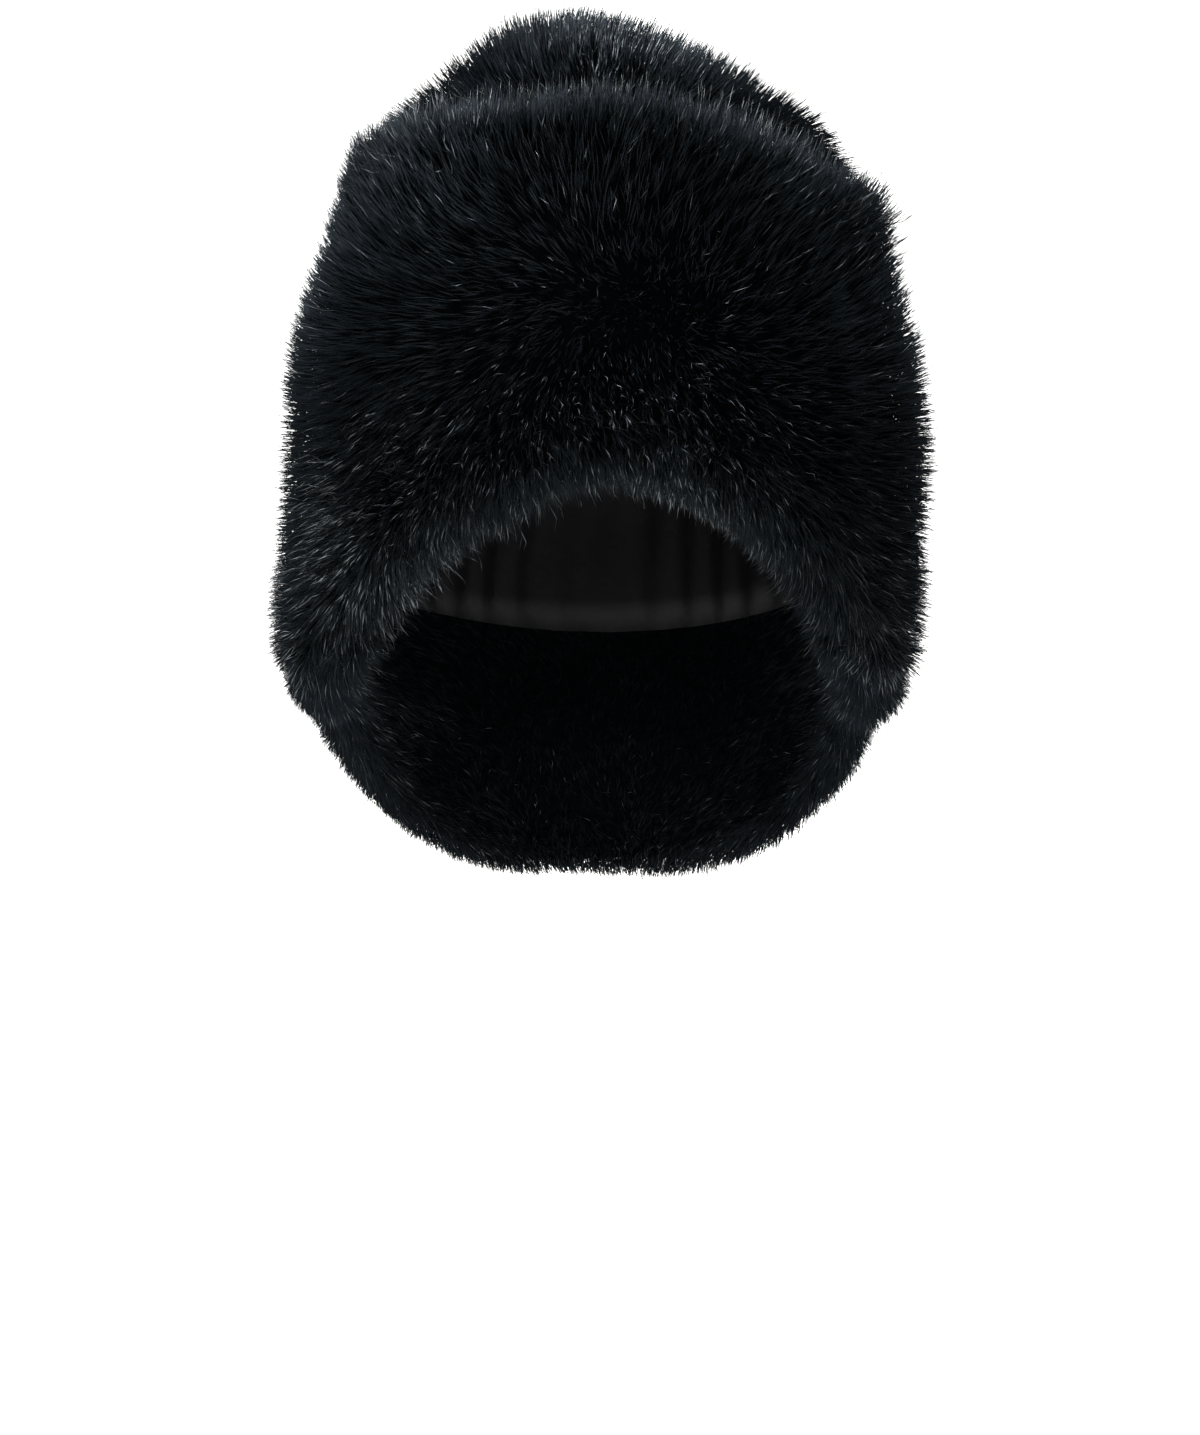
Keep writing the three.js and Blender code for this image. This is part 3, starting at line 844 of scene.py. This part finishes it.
def flap_face(angle, down, sunk):
    """Point of the front flap, sunk this far below its outline: down runs up the last of the
    back to 0.1, over the top edge as half a circle to 0.2, down the face to 0.8, round the
    fold to 0.92, and up its inner side to 1."""
    angle, down = np.broadcast_arrays(angle, down)
    top, low = ridge_height(angle), flap_low(angle)
    folded = 1 - ramp(np.abs(angle), FOLD_END - 1, FOLD_END + 3)
    dive = FLAP_DIVE * ramp(np.abs(angle), 50, 75)
    top_round = TOP_ROUND * flap_pad(angle, top - EDGE_REACH)
    inset = lerp(SIDE_INSET, FOLD_INSET, folded)
    low_round = FOLD_ROUND * (flap_pad(angle, low + EDGE_REACH) + inset)
    room_under_seam = lerp(100, seam_height(angle) - low - 2.5, folded)
    low_round = np.minimum(low_round, room_under_seam)
    outer_top, outer_low = top - top_round, low + low_round
    back = 0.5 - dive
    over = np.pi * ((down - 0.1) / 0.1).clip(0, 1)
    under = np.pi * ((down - 0.8) / 0.12).clip(0, 1)
    height = lerp(outer_top, outer_low, flap_share(down))
    height = np.where(down < 0.1, outer_top - FLAP_BACK * (1 - down / 0.1), height)
    height = np.where(down > 0.92, lerp(outer_low, seam_height(angle) - 1, (down - 0.92) / 0.08), height)
    face_out = np.maximum(flap_pad(angle, height) - sunk - 0.3 * dive, back + 1.2)
    back_out = back + 0 * height
    inner_out = -np.maximum(inset - 0.5 * sunk, -0.5 + dive)
    out = lerp(back_out, face_out, (1 - np.cos(over)) / 2)
    out = np.where(down > 0.8, lerp(face_out, inner_out, (1 - np.cos(under)) / 2), out)
    rise = np.maximum(top_round - sunk, 1) * np.sin(over)
    drop = np.maximum(low_round - sunk, 1) * np.sin(under)
    return off_form(FLAP_BASE, angle, height + rise - drop, out)


flap_angles = np.linspace(-FLAP_SIDE_END, FLAP_SIDE_END, 84)
flap_down = np.concatenate(
    [
        [0, 0.05, 0.1], np.linspace(0.11, 0.2, 7), np.linspace(0.22, 0.8, 20), np.linspace(0.81, 0.92, 9),
        [0.96, 1],
    ]
)
flap_rings = flap_face(flap_angles[:, None], flap_down, PILE_DEPTH)
flap_backing = closed_skin("front_flap_backing", flap_rings, None, backing_material)
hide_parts("front_flap")


GLINT_PATCH = 20.0    # size of the patches that its guard hair stands in
FLAP_LIE = {"top": -0.55, "fold": 0.6}
FLAP_ACROSS = {"left": -0.75, "right": -0.05, "corner": 0.9}
FLAP_STAND = {"face": 1.3, "edges": 0.9, "corner": -0.65}
# Painted light and shade on the flap's pile: a plain value, painted highlights beside the top edge's
# middle and on the left of the fold, painted shade on the rest of the top edge, the right of the fold and
# the left of the face.
FLAP_PAINTED_LIGHT = {
    "plain": 0.65, "left": -0.2, "top": -0.15, "top_left": 0.5, "top_right": 0.3,
    "fold": -0.04, "fold_left": 0.17, "fold_right": -0.17,
}


def flap_nap(angle, down):
    """The turned-up pile: brushed up at the top edge, sideways across the face, further on the
    left, down and out over the fold, and flat to the back at the two upper corners. Painted
    light makes it lighter on either side of the top edge's middle and on the left of the fold,
    and painted shade makes it darker along the rest of the top edge, on the right of the fold
    and on the left of the face."""
    face = flap_share(down)
    lie_down = lerp(FLAP_LIE["top"], FLAP_LIE["fold"], ramp(face, 0.1, 0.9)) * ramp(down, 0.12, 0.2)
    across = lerp(FLAP_ACROSS["left"], FLAP_ACROSS["right"], ramp(angle, -30, 35))
    across = across * ramp(face, 0.0, 0.25) * ramp(face, 1.0, 0.7)
    corner = ramp(np.abs(angle), 45, 65) * ramp(face, 0.5, 0.1)
    across = across + FLAP_ACROSS["corner"] * corner * np.sign(angle)
    stand = lerp(FLAP_STAND["face"], FLAP_STAND["edges"], ramp(np.abs(face - 0.5), 0.25, 0.5))
    stand = stand + FLAP_STAND["corner"] * corner
    # Painted highlights and painted shade, added to the plain value.
    top = FLAP_PAINTED_LIGHT["top_left"] * bump(angle + 28, 16) + FLAP_PAINTED_LIGHT["top_right"] * bump(angle - 38, 14)
    fold = FLAP_PAINTED_LIGHT["fold_left"] * ramp(-angle, 5, 35) + FLAP_PAINTED_LIGHT["fold_right"] * ramp(angle, 15, 45)
    left = ramp(-angle, 15, 40) * bump(face - 0.5, 0.25)
    light = FLAP_PAINTED_LIGHT["plain"] + (top + FLAP_PAINTED_LIGHT["top"]) * ramp(face, 0.15, 0.0)
    light = light + (fold + FLAP_PAINTED_LIGHT["fold"]) * ramp(face, 0.6, 0.9) + FLAP_PAINTED_LIGHT["left"] * left
    return lie_down, across, stand, light


def flap_shows(angle, down):
    """Rather more fibres on the free top edge and on the fold, where they fan out."""
    return 1 + 0.5 * bump(down - 0.17, 0.05) + 0.5 * bump(down - 0.86, 0.06) + 0 * angle


def flap_glints(angle, down):
    """Chance of a guard hair: few on the face, more along its top edge, and most by the fold,
    all in patches."""
    face = flap_share(down)
    patch = soft_noise(flap_face(angle, down, 0.0), GLINT_PATCH)[..., 0]
    return (1 + patch) * (0.25 + 1.6 * ramp(face, 0.6, 0.9) + 1.4 * ramp(face, 0.15, 0.0))


FLAP_GUARD_HAIRS = 5500
FLAP_SECTORS = {
    "left": {"sweep": (-FLAP_SIDE_END, -28), "count": 12500},
    "middle": {"sweep": (-28, 28), "count": 13000},
    "right": {"sweep": (28, FLAP_SIDE_END), "count": 12500},
}
for sector, part in FLAP_SECTORS.items():
    grow_pile(
        f"flap_pile_{sector}", flap_face, part["sweep"], (0.08, 0.98), flap_nap, PILE,
        part["count"], flap_shows, pile_material,
    )
grow_pile(
    "flap_guard_hair", flap_face, (-FLAP_SIDE_END, FLAP_SIDE_END), (0.12, 0.92), flap_nap, GUARD,
    FLAP_GUARD_HAIRS, flap_glints, guard_material,
)


# Floor and backdrop: one roll of white paper, flat below the hat and curved up behind it in a
# quarter circle, so that no edge shows where they meet.
FLOOR_HEIGHT = -0.6
FLOOR_FRONT = -3.0
FLOOR_BACK = 1.2
BEND_RADIUS = 0.8
BACKDROP_TOP = 3.5    # above the floor
PAPER_SIDE = 4.0
bend = np.linspace(0.1, np.pi / 2, 12)
paper_y = np.concatenate(
    [[FLOOR_FRONT, FLOOR_BACK], FLOOR_BACK + BEND_RADIUS * np.sin(bend), [FLOOR_BACK + BEND_RADIUS]]
)
paper_z = np.concatenate([[0, 0], BEND_RADIUS - BEND_RADIUS * np.cos(bend), [BACKDROP_TOP]])
paper_x = np.array([-PAPER_SIDE, PAPER_SIDE])[:, None]
paper_grid = np.stack(np.broadcast_arrays(paper_x, paper_y, paper_z + FLOOR_HEIGHT), axis=-1)
rows = len(paper_y)
paper_faces = [(rows + i, rows + i + 1, i + 1, i) for i in range(rows - 1)]
sweep_mesh = bpy.data.meshes.new("studio_sweep")
sweep_mesh.from_pydata(paper_grid.reshape(-1, 3).tolist(), [], paper_faces)
sweep_mesh.polygons.foreach_set("use_smooth", np.ones(len(paper_faces), bool))

# Uncoated paper: an almost white, matt face that takes soft shadows.
paper, paper_tree = new_material("white_paper")
paper_shader = add_node(
    paper_tree, "ShaderNodeBsdfPrincipled", Base_Color=linear("#f4f4f2"), Roughness=0.9
)
add_node(paper_tree, "ShaderNodeOutputMaterial", [("Surface", paper_shader.outputs["BSDF"])])
sweep_mesh.materials.append(paper)
floor = bpy.data.objects.new("studio_sweep", sweep_mesh)
bpy.context.scene.collection.objects.link(floor)


# Light: soft square panels overhead, in front and behind, and an even white surround. The one
# overhead is the strongest and lights the pile's tips on the crest and on the flap's top edge.
LIGHT_AIM = (0, 0, -0.13)
SURROUND_STRENGTH = 0.8
LIGHTS = [
    {"name": "overhead", "at": (-0.2, 0.0, 1.2), "size": 0.6, "power": 118},
    {"name": "front_left", "at": (-0.8, -1.3, 0.5), "size": 0.5, "power": 15},
    {"name": "front_right", "at": (1.1, -1.1, -0.1), "size": 0.5, "power": 6},
    {"name": "back_left", "at": (-1.2, 1.1, 0.9), "size": 0.5, "power": 32},
    {"name": "back_right", "at": (1.3, 1.0, 0.7), "size": 0.5, "power": 24},
]
for light in LIGHTS:
    lamp = bpy.data.lights.new(light["name"], "AREA")
    lamp.shape = "SQUARE"
    lamp.size = light["size"]
    lamp.energy = light["power"]
    holder = bpy.data.objects.new(light["name"], lamp)
    holder.location = light["at"]
    holder.visible_camera = False
    aim = Vector(LIGHT_AIM) - Vector(light["at"])
    holder.rotation_euler = aim.to_track_quat("-Z", "Y").to_euler()
    bpy.context.scene.collection.objects.link(holder)

world = bpy.data.worlds.new("white_surround")
world.use_nodes = True
surround = world.node_tree.nodes["Background"]
surround.inputs["Color"].default_value = linear("#ffffff")
surround.inputs["Strength"].default_value = SURROUND_STRENGTH
bpy.context.scene.world = world
bpy.context.scene.view_settings.view_transform = "Standard"


# Camera: close to the hat, a little above the fold of its front flap and tilted down, so that
# the hat is seen in strong perspective.
FOCAL_PIXELS = 1150   # focal length in the photo's pixels
PHOTO_HEIGHT = 1435
CAMERA_PLACE = (0, -0.411, -0.101)
CAMERA_TILT = 15.1
lens = bpy.data.cameras.new("camera")
lens.sensor_width = 36
lens.lens = FOCAL_PIXELS / PHOTO_HEIGHT * lens.sensor_width
camera = bpy.data.objects.new("camera", lens)
camera.location = CAMERA_PLACE
camera.rotation_euler = (np.radians(90 - CAMERA_TILT), 0, 0)
bpy.context.scene.collection.objects.link(camera)
bpy.context.scene.camera = camera
